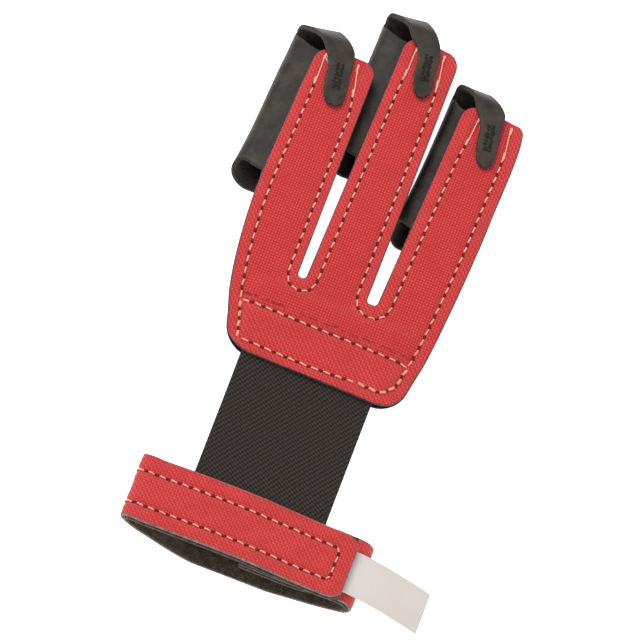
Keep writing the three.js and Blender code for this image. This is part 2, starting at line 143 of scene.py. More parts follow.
# Slots between the straps: places as shares of half the panel, widths as shares of the slot width, and
# how far above the slot's end the seam beside it bends, and how deep that bend is
slots = (
    {"centre": -0.353, "lean": 0.033, "web": 0.9, "tip": 1.5, "bend": (1.5, 5.9)},
    {"centre": 0.3, "lean": 0.056, "web": 1.1, "tip": 2, "bend": (2.4, 6.9)},
)

# Fingers: shares as in the solids, and how far in the stitches end at the strap's tip
finger_columns = (
    "name", "reach", "slope", "corner", "tip", "mouth", "length", "tab", "cap", "cap_left", "cap_right",
    "ends",
)
fingers = [dict(zip(finger_columns, row)) for row in (
    ("index", 0.05, 0, 1, 0.9, 1.15, 1, -0.09, 0, 1, 1, (3.0, 5.9)),
    ("middle", 1, -0.06, 1, 0.88, 0.95, 0.95, 0.03, -0.02, 1.2, 1.07, (4.3, 5.1)),
    ("ring", -0.05, -0.07, 0.5, 0.47, 0.8, 0.98, 0.11, 0.13, 1.25, 0.95, (5.9, 4.2)),
)]

# Section of a stall: side, place outward, height, and the shares of the mouth's lip and the far rim
section_rows = (
    ("right", -0.05, 1, 0.55, -2.2),
    ("right", -1, 1, 0.6, -0.7),
    ("right", -1.4, 0.78, 0.75, 0.2),
    ("right", -1.35, 0.4, 0.9, 0.7),
    ("right", -1.8, 0.08, 0.97, 1),
    ("right", -2.9, 0, 1, 1),
    ("left", -0.1, 0, 1, 1.3),
    ("left", 0.5, 0, 0.97, 1.9),
    ("left", 0.9, 0.2, 0.75, 2.5),
    ("left", 1, 0.42, 0.4, 2.6),
    ("left", 0.8, 0.64, 0.1, 1.7),
    ("under", -0.12, 1, 0.35, 0.4),
    ("turn", 1.15, 0.4, 0.4, 0),
)
cap_first = 5
cap_last = 9

# Fingertip cap, row by row: right edge's x, reach and height, left edge's, and how far its middle sags
cap_rows = (
    (-0.2, 0.42, 0.03, -1.01, 0.66, 0.34, 0.12),
    (-0.3, 0.7, 0.13, -1.01, 0.78, 0.4, 0.12),
    (-0.45, 0.92, 0.33, -0.98, 0.83, 0.47, 0.06),
    (-0.57, 1, 0.56, -0.91, 0.79, 0.55, 0.02),
    (-0.37, 0.76, 0.77, -0.76, 0.62, 0.75, 0),
    (-0.11, 0.42, 0.93, -0.59, 0.36, 0.94, 0),
    (0.12, 0.06, 1, -0.45, -0.02, 1, 0),
)

# Tab on the strap: edges as shares of half the strap's width, at shares of the tab's length
tab_table = {
    "at": (0.16, 0.36, 0.56, 0.76, 0.91, 1),
    "left": (-0.55, -0.4, -0.36, -0.27, -0.16, 0.02),
    "right": (0.25, 0.28, 0.33, 0.38, 0.36, 0.2),
}

# Centre line of the wrist loop: x and height as shares of the loop's, and skew of strap_skew
loop_rows = (
    (0.5, 1, -0.7), (0, 1, 0), (-0.62, 1, 0), (-0.82, 0.985, 0), (-0.935, 0.945, 0.3), (-0.99, 0.86, 0.5),
    (-0.995, 0.75, 0.6), (-0.955, 0.63, 0.5), (-0.86, 0.5, 0.3), (-0.73, 0.36, 0.2), (-0.57, 0.2, 0),
    (-0.42, 0.06, 0), (-0.32, 0, 0), (-0.24, 0, 0), (0.24, 0, 0), (0.32, 0, 0), (0.5, 0.05, 0.2),
    (0.7, 0.15, 0.2), (0.86, 0.27, 0.1), (0.965, 0.41, -0.1), (1, 0.56, 0.1),
)

# Where the part's axes lie in the frame
elastic_low, elastic_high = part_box("elastic_band")
shift = np.array([
    500 * (elastic_low.x + elastic_high.x),
    1000 * elastic_high.y - elastic_in_panel,
    0,
])

# Camera at the photograph's angle, made first
picture_pixels = 640
pixels_per_mm = 3.15
sensor = 36
camera_distance = 7000
camera_elevation = math.radians(65)
fingers_turn = math.radians(21)
camera_target = np.array([-9.88, -8.96, 8.84])


def add_camera():
    across = np.array([1, 0, 0])
    forward = np.array([0, math.sin(camera_elevation), math.cos(camera_elevation)])
    back = np.cross(across, forward)
    right = across * math.cos(fingers_turn) + forward * math.sin(fingers_turn)
    up = forward * math.cos(fingers_turn) - across * math.sin(fingers_turn)
    camera = bpy.data.objects.new("camera", bpy.data.cameras.new("camera"))
    camera.data.sensor_width = sensor
    camera.data.lens = pixels_per_mm * camera_distance * sensor / picture_pixels
    camera.data.clip_end = 20
    place = Matrix([right, up, back]).transposed().to_4x4()
    place.translation = Vector((camera_target + back * camera_distance) / 1000)
    camera.matrix_world = place
    bpy.context.scene.collection.objects.link(camera)
    bpy.context.scene.camera = camera


# Shapes that the solids share


def ramp(start, end, value):
    """Share of the way from one end of a smooth ramp to the other."""
    share = np.clip((value - start) / (end - start), 0, 1)
    return share * share * (3 - 2 * share)


def cubic(t, start, end, leave, arrive):
    """Cubic from start to end with its slopes at both."""
    first = start * (2 * t**3 - 3 * t**2 + 1) + leave * (t**3 - 2 * t**2 + t)
    return first + end * (3 * t**2 - 2 * t**3) + arrive * (t**3 - t**2)


def look_up(table, place, column):
    """Smooth values of one column of a table at places along it."""
    at = np.array(table["at"], float)
    value = np.array(table[column], float)
    last = len(at) - 1
    place = np.clip(place, at[0], at[last])
    row = np.clip(np.searchsorted(at, place) - 1, 0, last - 1)
    before = np.maximum(np.arange(last + 1) - 1, 0)
    after = np.minimum(np.arange(last + 1) + 1, last)
    slope = (value[after] - value[before]) / (at[after] - at[before])
    step = at[row + 1] - at[row]
    t = (place - at[row]) / step
    return cubic(t, value[row], value[row + 1], slope[row] * step, slope[row + 1] * step)


def corner_inset(distance, radius):
    """How far a rounded corner stands in at a distance from the end of a straight edge."""
    short = np.maximum(0, radius - distance)
    return radius - np.sqrt(np.maximum(0, radius**2 - short**2))


def strap_edges(y):
    """The six edges of the three straps at heights along the panel, from left to right."""
    y = np.asarray(y, float)
    along = np.clip((y - web_height) / (panel_length - web_height), 0, 1.2)
    edges = [-half_panel * look_up(panel_outline, y / panel_length, "left")]
    for slot in slots:
        centre = half_panel * (slot["centre"] + slot["lean"] * along)
        half = slot_width / 2 * (slot["web"] + (slot["tip"] - slot["web"]) * along)
        edges += [centre - half, centre + half]
    edges.append(half_panel * look_up(panel_outline, y / panel_length, "right"))
    return edges


def strap_sides(k, y):
    """Left and right edge of strap k at heights along the panel."""
    return strap_edges(y)[2 * k:2 * k + 2]


def tip_of(k):
    return panel_length + middle_reach * fingers[k]["reach"]


def mouth_of(k):
    return tip_of(k) - stall_length * fingers[k]["length"]


def middle_of(k):
    """Middle of strap k at its tip, and half its width there."""
    left, right = (float(edge) for edge in strap_sides(k, tip_of(k)))
    return (left + right) / 2, (right - left) / 2


def across_strap(k, x, y):
    """Place across strap k, from -1 at its left edge to 1 at its right edge."""
    edges = strap_edges(y)
    k = np.asarray(k, int)
    left = np.choose(k, edges[0::2])
    right = np.choose(k, edges[1::2])
    return (2 * x - left - right) / (right - left)


def ripple(x, y):
    """Slight unevenness of cloth that has been cut, sewn and worn."""
    broad = 0.09 * np.sin(x / 6.3 + 0.4) * np.sin(y / 9.1 + 1.1)
    return broad + 0.05 * np.sin(x / 3.1 - y / 7.7 + 2)


def panel_underside(k, x, y):
    """Height of the underside of the panel's lining, each strap a little lower at its edges."""
    stall_end = panel_length - stall_length
    rise = stall_height + clearance - wrist_end_lift
    height = wrist_end_lift + rise * ramp(-0.15 * panel_length, stall_end, y)
    return height - strap_camber * ramp(web_height, stall_end, y) * across_strap(k, x, y) ** 2


def pocket_lift(x, y):
    """Height by which the fabric stands up over the end of the elastic."""
    edge = half_elastic + pocket_ramp / 3
    top = elastic_in_panel + pocket_ramp / 2
    sides = 1 - ramp(edge, edge + pocket_ramp, np.abs(x))
    return (elastic_thickness + clearance) * sides * (1 - ramp(top, top + pocket_ramp, y))


def panel_top(k, x, y):
    """Height of the smooth top of the panel's fabric, without its stitch grooves."""
    return panel_underside(k, x, y) + 2 * cloth + clearance + pocket_lift(x, y) + ripple(x, y)


def strap_span(k, y, margin):
    """Left and right end of a strap's row, with rounded hem, tip and slot ends."""
    left, right = strap_sides(k, y)
    left_tip = corner_inset(tip_of(k) + margin - y, strap_corner)
    right_tip = corner_inset(tip_of(k) + margin - y, fingers[k]["corner"] * strap_corner)
    hem = corner_inset(y, hem_corner)
    half_slot = slot_width / 2
    short = np.clip(1 - (y - web_height) / half_slot, 0, 1)
    web = 0.75 * half_slot * (1 - math.sqrt(1 - short**2))
    left_grow = margin - left_tip + (-hem if k == 0 else web)
    right_grow = margin - right_tip + (-hem if k == 2 else web)
    return left - left_grow, right + right_grow


def seam_height(k, x, y):
    """Where the leather lies under the strap's edges."""
    return panel_underside(k, x, y) - clearance - half_leather


# Places along a shape


def stations(length, start_radius, end_radius, step):
    """Places from 0 to a length, with fine steps round a rounded start and end."""
    round_steps = 1 - np.cos(np.linspace(0, math.pi / 2, 8))
    middle = length - start_radius - end_radius
    places = [start_radius * round_steps[:-1]] if start_radius else []
    places.append(start_radius + np.linspace(0, middle, max(2, round(middle / step) + 1)))
    if end_radius:
        places.append(length - end_radius * round_steps[-2::-1])
    return np.concatenate(places)


def panel_places(margin, cell):
    """X, Y and strap number of the back panel's grid: rows from the hem to the tips, columns across
    the straps, with a point between two straps only as far as the slots' ends."""
    shares = np.linspace(0, 1, round(23 / cell) + 1)
    columns = 3 * (len(shares) + 1) - 1
    web_rows = stations(web_height, hem_corner, 0, cell)
    reach = panel_length - web_height
    strap_rows = stations(1, slot_width / 2 / reach, strap_corner / reach, cell / reach)[1:]
    grid = np.full((len(web_rows) + len(strap_rows), columns, 3), np.nan)
    for k in range(3):
        first = k * (len(shares) + 1)
        cells = slice(first, first + len(shares))
        grid[:, cells, 2] = k
        for row, place in enumerate(web_rows):
            left, right = strap_span(k, place, margin)
            x = left + (right - left) * shares
            hem = -margin - hem_tilt * x / panel_width
            grid[row, cells, 0] = x
            grid[row, cells, 1] = hem + (web_height - hem) * place / web_height
        for row, share in enumerate(strap_rows, len(web_rows)):
            along = web_height + share * (tip_of(k) + margin - web_height)
            left, right = strap_span(k, along, margin)
            x = left + (right - left) * shares
            grid[row, cells, 0] = x
            grid[row, cells, 1] = along + fingers[k]["slope"] * share * (x - (left + right) / 2)
    for k in (1, 2):
        gap = k * (len(shares) + 1) - 1
        grid[:len(web_rows), gap] = (grid[:len(web_rows), gap - 1] + grid[:len(web_rows), gap + 1]) / 2
        grid[:len(web_rows), gap, 2] = k - 1
    return grid


# Closed-form refinement of a coarse grid


def refined(points, steps):
    """Smooth rows through the rows of points. A missing neighbour is extended straight."""
    rows = []
    for k in range(len(points) - 1):
        here, there = points[k], points[k + 1]
        before = points[k - 1] if k else np.full_like(here, np.nan)
        after = points[k + 2] if k + 2 < len(points) else np.full_like(here, np.nan)
        before = np.where(np.isnan(before), 2 * here - there, before)
        after = np.where(np.isnan(after), 2 * there - here, after)
        for t in np.arange(steps) / steps:
            between = cubic(t, here, there, (there - before) / 2, (after - here) / 2)
            rows.append(between if t else here)
    rows.append(points[-1])
    return np.array(rows)


def smooth_grid(grid, row_steps, column_steps):
    fine = refined(grid, row_steps)
    return refined(fine.swapaxes(0, 1), column_steps).swapaxes(0, 1)


# Parts of meshes: points, faces, places in the cloth, marks of wear and tightness, and materials


def unit(vectors):
    return vectors / np.maximum(np.linalg.norm(vectors, axis=-1, keepdims=True), 1e-9)


def sheet(grid, flat, above, below, rim, sides=(0, 0, 0), rim_steps=4, tight=0):
    """Closed sheet round a grid of middle points, which are NaN where there is none. It reaches
    above and below its middle, and its cut edges are rounded outward by rim. sides are the material
    numbers of its upper face, lower face and cut edge. tight marks where the cloth is drawn tight."""
    there = ~np.isnan(grid[..., 0])
    number = np.full(there.shape, -1)
    number[there] = np.arange(there.sum())
    points, uv = grid[there], flat[there]
    above = np.broadcast_to(above, there.shape)[there][:, None]
    below = np.broadcast_to(below, there.shape)[there][:, None]
    tight = np.broadcast_to(tight, there.shape)[there]
    corners = [number[:-1, :-1], number[:-1, 1:], number[1:, 1:], number[1:, :-1]]
    cells = np.stack(corners, -1).reshape(-1, 4)
    cells = cells[(cells >= 0).all(1)]
    across = points[cells[:, 2]] - points[cells[:, 0]]
    normal = np.cross(across, points[cells[:, 3]] - points[cells[:, 1]])
    normals = np.zeros_like(points)
    for corner in range(4):
        np.add.at(normals, cells[:, corner], normal)
    normals = unit(normals)
    count = len(points)
    start = cells.reshape(-1)
    end = np.roll(cells, -1, axis=1).reshape(-1)
    open_edge = ~np.isin(start * count + end, end * count + start)
    start, end = start[open_edge], end[open_edge]
    outward = np.zeros_like(points)
    outward_flat = np.zeros((count, 2))
    edge_out = unit(np.cross(points[end] - points[start], normals[start]))
    first_cell = uv[cells[0]]
    turn = 1 if np.cross(first_cell[2] - first_cell[0], first_cell[3] - first_cell[1]) > 0 else -1
    edge_flat = turn * unit((uv[end] - uv[start])[:, ::-1] * (1, -1))
    for corner in (start, end):
        np.add.at(outward, corner, edge_out)
        np.add.at(outward_flat, corner, edge_flat)
    outward, outward_flat = unit(outward), unit(outward_flat)
    border = np.unique(start)
    ring = np.full(count, -1)
    ring[border] = np.arange(len(border))
    middle = points + normals * (above - below) / 2
    half = (above + below) / 2
    all_points = [points + normals * above, points - normals * below]
    all_flat = [uv, uv]
    worn = [np.zeros(count), np.zeros(count)]
    worn[0][border] = 0.6
    worn[1][border] = 0.6
    levels = [start]
    next_levels = [end]
    for step in range(1, rim_steps):
        angle = math.pi * (0.5 - step / rim_steps)
        out = rim * math.cos(angle)
        all_points.append((middle + outward * out + normals * half * math.sin(angle))[border])
        all_flat.append((uv + outward_flat * out)[border])
        worn.append(np.ones(len(border)))
        base = 2 * count + (step - 1) * len(border)
        levels.append(base + ring[start])
        next_levels.append(base + ring[end])
    levels.append(count + start)
    next_levels.append(count + end)
    tightness = [tight, tight] + [tight[border]] * (rim_steps - 1)
    faces = [cells, cells[:, ::-1] + count]
    numbers = [np.full(len(cells), sides[0]), np.full(len(cells), sides[1])]
    for step in range(rim_steps):
        quads = [levels[step], levels[step + 1], next_levels[step + 1], next_levels[step]]
        faces.append(np.stack(quads, -1))
        numbers.append(np.full(len(start), sides[2]))
    return (
        np.concatenate(all_points),
        np.concatenate(faces),
        np.concatenate(all_flat),
        np.stack([np.concatenate(worn), np.concatenate(tightness)], -1),
        np.concatenate(numbers),
    )


def threads(lines, ups, width):
    """Twisted threads along lines (thread, point, axis), pointed at both ends."""
    height, sides = thread_flatness * width, thread_sides
    count, steps = lines.shape[:2]
    along = unit(np.gradient(lines, axis=1))
    side = unit(np.cross(along, ups))
    up = np.cross(side, along)
    share = np.linspace(0, 1, steps)
    taper = np.clip(np.minimum(share, 1 - share) * 6 + 0.25, 0, 1)
    angle = 2 * math.pi * np.arange(sides) / sides
    length = np.linalg.norm(np.diff(lines, axis=1), axis=2).sum(1).mean()
    turn = thread_twist * share * length
    lobe = 1 + 0.13 * np.cos(2 * (angle[None, :] - turn[:, None]))
    wide = (taper[:, None] * lobe * np.cos(angle) * width / 2)[None, ..., None]
    tall = (taper[:, None] * lobe * np.sin(angle) * height / 2)[None, ..., None]
    ring = lines[:, :, None] + side[:, :, None] * wide + up[:, :, None] * tall
    points = ring.reshape(-1, 3)
    first = (np.arange(count) * steps * sides)[:, None, None]
    row = (np.arange(steps - 1) * sides)[None, :, None]
    here = np.arange(sides)[None, None, :]
    there = (here + 1) % sides
    quads = [row + here, row + there, row + sides + there, row + sides + here]
    faces = np.stack([first + quad for quad in quads], -1).reshape(-1, 4)
    cap = np.arange(sides // 2 - 1)
    caps = np.stack([cap, sides - 1 - cap, sides - 2 - cap, cap + 1], -1)
    ends = [caps + k * steps * sides for k in range(count)]
    ends += [caps[:, ::-1] + (k * steps + steps - 1) * sides for k in range(count)]
    faces = np.concatenate([faces[:, ::-1], *[end[:, ::-1] for end in ends]])
    places = np.broadcast_arrays((share * length)[None, :, None], angle[None, None, :] * width / 2)
    uv = np.stack(places, -1)
    uv = np.broadcast_to(uv, (count, steps, sides, 2)).reshape(-1, 2)
    return points, faces, uv, np.zeros((len(points), 2)), np.zeros(len(faces), int)


def piece(name, parts, materials, replaced=(), *, slot):
    """One object from parts of meshes, placed in the frame and riding on the glove's body."""
    before = np.cumsum([0] + [len(part[0]) for part in parts])
    faces = np.concatenate([part[1] + count for part, count in zip(parts, before)])
    points, uv, marks, numbers = (np.concatenate([part[n] for part in parts]) for n in (0, 2, 3, 4))
    mesh = bpy.data.meshes.new(name)
    placed = points + shift
    placed[:, 2] = np.maximum(placed[:, 2], 0)
    mesh.from_pydata((placed / 1000).tolist(), [], faces.tolist())
    mesh.polygons.foreach_set("material_index", numbers.astype(np.int32))
    mesh.shade_smooth()
    layer = mesh.uv_layers.new(name="cloth")
    layer.data.foreach_set("uv", uv[faces.reshape(-1)].astype(np.float32).reshape(-1))
    for mark, values in zip(("worn", "tight"), marks.astype(np.float32).T):
        mesh.attributes.new(mark, "FLOAT", "POINT").data.foreach_set("value", values.copy())
    for material in materials:
        mesh.materials.append(material)
    made = bpy.data.objects.new(name, mesh)
    bpy.context.scene.collection.objects.link(made)
    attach(made, "root")
    if replaced:
        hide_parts(*replaced)
    return made


# Materials


def linear(red, green, blue):
    """Shader colour from the red, green and blue of a picture, 0 to 255."""
    def one(value):
        value /= 255
        return value / 12.92 if value <= 0.04045 else ((value + 0.055) / 1.055) ** 2.4
    return one(red), one(green), one(blue), 1


class Shader:
    """A material's nodes, made one at a time. Its colours are a picture's red, green and blue."""

    def __init__(self, name, roughness, sheen=0, specular=0.5):
        self.material = bpy.data.materials.new(name)
        self.material.use_nodes = True
        self.tree = self.material.node_tree
        self.surface = self.tree.nodes["Principled BSDF"]
        self.set("Roughness", roughness)
        self.set("Sheen Weight", sheen)
        self.set("Sheen Roughness", 0.5)
        self.set("Specular IOR Level", specular)

    def feed(self, socket, value):
        if isinstance(value, bpy.types.NodeSocket):
            self.tree.links.new(value, socket)
        else:
            socket.default_value = linear(*value) if isinstance(value, tuple) else value

    def set(self, key, value):
        """Give the surface a value or a colour, or link it to one."""
        self.feed(self.surface.inputs[key], value)

    def add(self, kind, inputs=(), **settings):
        node = self.tree.nodes.new(kind)
        for key, value in settings.items():
            setattr(node, key, value)
        for key, value in dict(inputs).items():
            self.feed(node.inputs[key], value)
        return node

    def math(self, operation, *values):
        return self.add("ShaderNodeMath", dict(enumerate(values)), operation=operation).outputs[0]

    def times(self, first, second):
        return self.math("MULTIPLY", first, second)

    def plus(self, first, second):
        return self.math("ADD", first, second)

    def minus(self, first, second):
        return self.math("SUBTRACT", first, second)

    def mix(self, share, first, second):
        return self.add("ShaderNodeMix", {0: share, 6: first, 7: second}, data_type="RGBA").outputs[2]

    def noise(self, scale, detail=3, distortion=0):
        """Noise in space: scale is in features per millimetre."""
        inputs = {"Vector": self.place(), "Scale": scale, "Detail": detail, "Distortion": distortion}
        return self.add("ShaderNodeTexNoise", inputs).outputs["Fac"]

    def cells(self, scale, **settings):
        inputs = {"Vector": self.place(), "Scale": scale}
        return self.add("ShaderNodeTexVoronoi", inputs, **settings).outputs["Distance"]

    def place(self):
        """Object coordinates in millimetres."""
        inputs = {0: self.add("ShaderNodeTexCoord").outputs["Object"], "Scale": 1000}
        return self.add("ShaderNodeVectorMath", inputs, operation="SCALE").outputs[0]

    def cloth_place(self):
        """Places in the flat cloth, in millimetres."""
        found = self.add("ShaderNodeUVMap", uv_map="cloth").outputs[0]
        parts = self.add("ShaderNodeSeparateXYZ", {0: found})
        return parts.outputs[0], parts.outputs[1]

    def ramp(self, value, low, high, to_low=0, to_high=1):
        inputs = {0: value, 1: low, 2: high, 3: to_low, 4: to_high}
        return self.add("ShaderNodeMapRange", inputs, interpolation_type="SMOOTHSTEP").outputs[0]

    def mark(self, name):
        return self.add("ShaderNodeAttribute", attribute_name=name).outputs["Fac"]

    def wave(self, value, pitch):
        """Sine of a place, with one crest or trough to a pitch."""
        return self.math("SINE", self.times(value, math.pi / pitch))

    def weave(self, pitch_across, pitch_along, wander):
        """Height of a plain weave, 0 in its gaps to 1 on its threads, and which thread is over."""
        across, along = self.cloth_place()
        sway = self.times(self.minus(self.noise(0.9, 2), 0.5), wander)
        wave_across = self.wave(self.plus(across, sway), pitch_across)
        wave_along = self.wave(self.minus(along, sway), pitch_along)
        crest_across = self.math("ABSOLUTE", wave_across)
        crest_along = self.math("ABSOLUTE", wave_along)
        over = self.math("GREATER_THAN", self.times(wave_across, wave_along), 0)
        warp = self.times(crest_across, self.math("POWER", crest_along, 0.4))
        weft = self.times(crest_along, self.math("POWER", crest_across, 0.4))
        return self.add("ShaderNodeMix", {0: over, 2: weft, 3: warp}).outputs[0], over

    def bump(self, height, distance, strength=1):
        inputs = {"Height": height, "Distance": distance / 1000, "Strength": strength}
        self.set("Normal", self.add("ShaderNodeBump", inputs).outputs["Normal"])


def red_fabric():
    """Red plain weave with painted shade in its gaps and painted highlights on its crests, diagonal
    ridges with painted highlights where it is drawn tight, and a worn fold beside them with painted shade
    along it.
    """
    shader = Shader("red_fabric", 0.78, sheen=0.22, specular=0.25)
    height, over = shader.weave(weave_pitch, weave_pitch, 0.3)
    across, along = shader.cloth_place()
    tight = shader.mark("tight")
    ridge = shader.ramp(shader.wave(shader.plus(across, along), weave_pitch), -1, 1)
    ridge = shader.times(ridge, shader.math("MULTIPLY_ADD", tight, 0.88, 0.12))
    # Painted shade in the weave's gaps: darker red where the threads dip, full red on the threads.
    colour = shader.mix(shader.ramp(height, 0.05, 0.8), (162, 28, 31), (210, 55, 56))
    # Painted highlight: paler red on the crests of the threads that lie over.
    colour = shader.mix(shader.times(shader.ramp(height, 0.6, 1), over), colour, (224, 74, 70))
    # Painted highlight along the diagonal ridges, stronger where the tight mark is high.
    colour = shader.mix(shader.times(ridge, 0.45), colour, (226, 80, 75))
    # Painted shade along the crease across the panel: dark red in a thin broken line, kept off where the
    # tight mark is high.
    fold_line = shader.math("MULTIPLY_ADD", across, fold_slope, fold_place)
    sway = shader.math("MULTIPLY_ADD", shader.noise(0.45, 2), 1.6, -0.8)
    off_fold = shader.math("ABSOLUTE", shader.minus(shader.plus(along, sway), fold_line))
    fold = shader.times(shader.ramp(off_fold, 0.6, 0.1), shader.ramp(shader.noise(0.5, 2), 0.36, 0.52))
    colour = shader.mix(shader.times(fold, shader.minus(1, tight)), colour, (112, 18, 24))
    colour = shader.mix(shader.ramp(shader.noise(0.12, 3), 0.3, 0.75, 0, 0.3), colour, (176, 32, 38))
    shader.set("Base Color", shader.mix(shader.times(shader.mark("worn"), 0.35), colour, (150, 60, 62)))
    fuzz = shader.times(shader.noise(7, 2), 0.35)
    shader.bump(shader.plus(shader.plus(height, fuzz), shader.times(ridge, 0.8)), 0.16, 0.9)
    return shader.material


def felt(name, base, light, sheen):
    """Brushed lining: a tangle of fine fibres with paler ends."""
    shader = Shader(name, 0.95, sheen=sheen, specular=0.15)
    tangle = shader.noise(2.6, 5, distortion=1.2)
    mixed = shader.plus(shader.times(tangle, 0.7), shader.times(shader.noise(0.5, 3), 0.3))
    shader.set("Base Color", shader.mix(shader.ramp(mixed, 0.38, 0.68), base, light))
    shader.bump(mixed, 0.5, 0.8)
    return shader.material


def black_leather():
    shader = Shader("black_leather", 0.52, specular=0.28)
    grain = shader.ramp(shader.cells(1.7, feature="DISTANCE_TO_EDGE"), 0, 0.22)
    fine = shader.noise(5, 4)
    colour = shader.mix(shader.ramp(shader.noise(0.14, 3), 0.3, 0.72), (28, 23, 18), (58, 50, 40))
    shader.set("Base Color", shader.mix(shader.times(shader.mark("worn"), 0.4), colour, (92, 84, 76)))
    shader.set("Roughness", shader.ramp(fine, 0.3, 0.7, 0.42, 0.58))
    shader.bump(shader.plus(shader.times(grain, 0.5), shader.times(fine, 0.4)), 0.09, 0.7)
    return shader.material


def black_elastic():
    shader = Shader("black_elastic", 0.85, sheen=0.05, specular=0.15)
    height, over = shader.weave(1.03, 1.38, 0.35)
    # Painted shade in the weave's gaps: near black where the threads dip, paler on their tops.
    colour = shader.mix(shader.ramp(height, 0.1, 0.9), (17, 15, 13), (60, 54, 49))
    shader.set("Base Color", shader.mix(shader.times(over, 0.2), colour, (64, 57, 51)))
    shader.bump(height, 0.14, 0.9)
    return shader.material


def thread(name, dark, light, sheen=0.3):
    shader = Shader(name, 0.6, sheen=sheen, specular=0.3)
    ply = shader.math("SINE", shader.times(shader.plus(*shader.cloth_place()), 11))
    # Painted shade in the grooves between the plies and painted highlight on their crests, along the
    # twist.
    colour = shader.mix(shader.ramp(ply, -1, 0.8), dark, light)
    shade = shader.ramp(shader.noise(0.2, 2), 0.35, 0.7, 0, 0.35)
    shader.set("Base Color", shader.mix(shade, colour, dark))
    shader.bump(ply, 0.05, 0.6)
    return shader.material


def white_satin():
    shader = Shader("white_satin", 0.42, sheen=0.2, specular=0.45)
    across, along = shader.cloth_place()
    cloud = shader.ramp(shader.noise(0.06, 2), 0.3, 0.75)
    shader.set("Base Color", shader.mix(cloud, (209, 200, 193), (215, 207, 201)))
    ribs = shader.plus(shader.wave(along, 0.14), shader.times(shader.wave(across, 0.1), 0.4))
    shader.bump(ribs, 0.03, 0.6)
    return shader.material


def black_fastener():
    shader = Shader("black_fastener", 0.7, specular=0.35)
    hooks = shader.cells(1.3)
    shader.set("Base Color", shader.mix(shader.ramp(hooks, 0.1, 0.5), (70, 68, 68), (20, 20, 21)))
    shader.bump(shader.minus(1, hooks), 0.4, 0.8)
    return shader.material


def pale_floor():
    """White ground that glows faintly, as the photo's has no shadow."""
    shader = Shader("pale_floor", 0.9, specular=0.2)
    shader.set("Emission Color", (255, 255, 255))
    shader.set("Emission Strength", 0.95)
    shader.set("Base Color", shader.mix(shader.noise(0.02, 3), (240, 240, 240), (246, 246, 246)))
    return shader.material


fabric = red_fabric()
dark_lining = felt("black_lining", (20, 17, 26), (46, 41, 52), 0.1)
brown_lining = felt("brown_lining", (40, 33, 28), (108, 95, 80), 0.3)
frayed = felt("frayed_edge", (92, 76, 70), (168, 148, 138), 0.2)
leather_skin = black_leather()
suede = felt("leather_inside", (30, 25, 22), (68, 58, 50), 0.15)
panel_edge = felt("panel_edge", (56, 44, 52), (114, 98, 100), 0.1)
raw_leather = felt("leather_edge", (44, 38, 34), (80, 72, 65), 0.1)
elastic_web = black_elastic()
cream_thread = thread("cream_thread", (228, 138, 112), (253, 203, 176))
tan_thread = thread("tan_thread", (206, 128, 88), (243, 186, 142))
# Dark red-brown threads for the needle holes: painted shade, with the dark under thread's tone.
hole_shade_thread = thread("needle_hole_shade", (72, 12, 4), (114, 28, 14), 0)
black_thread = thread("black_thread", (10, 10, 9), (44, 41, 37), 0.05)
satin = white_satin()
fastener = black_fastener()


# Stitches


def path_lengths(path):
    return np.concatenate([[0], np.cumsum(np.linalg.norm(np.diff(path, axis=0), axis=1))])


def even_places(path, step):
    """Lengths to the points of a path, and lengths in even steps of about step."""
    lengths = path_lengths(path)
    count = max(1, round(lengths[-1] / step))
    return lengths, np.linspace(0, lengths[-1], count + 1)


def along_path(path, lengths, places):
    return np.stack([np.interp(places, lengths, column) for column in path.T], -1)


def stitch_row(path, gap=stitch_gap, slant=stitch_slant):
    """Flat start and end points of the visible threads of a row of stitches, each a little askew, and
    those of the short dark threads between them: painted shade of the needle holes that also stands for
    the dark under thread."""
    lengths, holes = even_places(path, stitch_pitch)
    jitter = dice.uniform(-0.12, 0.12, (2, len(holes)))
    start_at = holes[:-1] + gap / 2 + jitter[0, :-1]
    end_at = holes[1:] - gap / 2 + jitter[1, 1:]

    def beside(places, distance):
        point = along_path(path, lengths, places)
        way = unit(along_path(path, lengths, places + 0.3) - along_path(path, lengths, places - 0.3))
        return point + distance * np.stack([way[:, 1], -way[:, 0]], -1)

    lean = slant * (1 + dice.uniform(-0.35, 0.35, len(start_at)))
    starts = beside(start_at, -lean[:, None])
    ends = beside(end_at, lean[:, None])
    return (starts, ends), (ends[:-1], starts[1:])


def laid_threads(ends, surface, width, rise, dip, steps=11):
    """Threads between flat points, laid on a surface that gives a point and an up for flat places."""
    share = np.linspace(0, 1, steps)
    flat = ends[0][:, None] + (ends[1] - ends[0])[:, None] * share[None, :, None]
    points, ups = surface(flat)
    arch = rise - (rise + dip) * np.abs(2 * share - 1) ** 4
    return threads(points + ups * arch[None, :, None], ups, width)


def stitches(pairs, surface):
    return laid_threads(pairs, surface, thread_width, stitch_rise, stitch_dip)


# Short dark threads lying low between the stitches: painted shade of the needle holes, standing also for
# the dark under thread.
def hole_shade_dashes(pairs, surface):
    return laid_threads(pairs, surface, hole_width, hole_rise, tack_dip, 7)


def distance_to(rows, flat):
    """Distance of flat places from the nearest of several stitch paths."""
    fine = np.concatenate([along_path(path, *even_places(path, 0.25)) for path in rows])
    tree = KDTree(len(fine))
    for index, point in enumerate(fine):
        tree.insert((point[0], point[1], 0), index)
    tree.balance()
    far = 9.0
    found = [far if math.isnan(x) else tree.find((x, y, 0))[2] for x, y in flat.reshape(-1, 2)]
    return np.array(found).reshape(flat.shape[:-1])


def seam_relief(distance):
    """Height of cloth beside a seam: a groove where the thread pulls it in, a slight swell beside."""
    groove = -groove_depth * np.exp(-((distance / groove_width) ** 2))
    swell = 0.14 * np.exp(-(((distance - 2.2) / 1.2) ** 2))
    return groove + swell


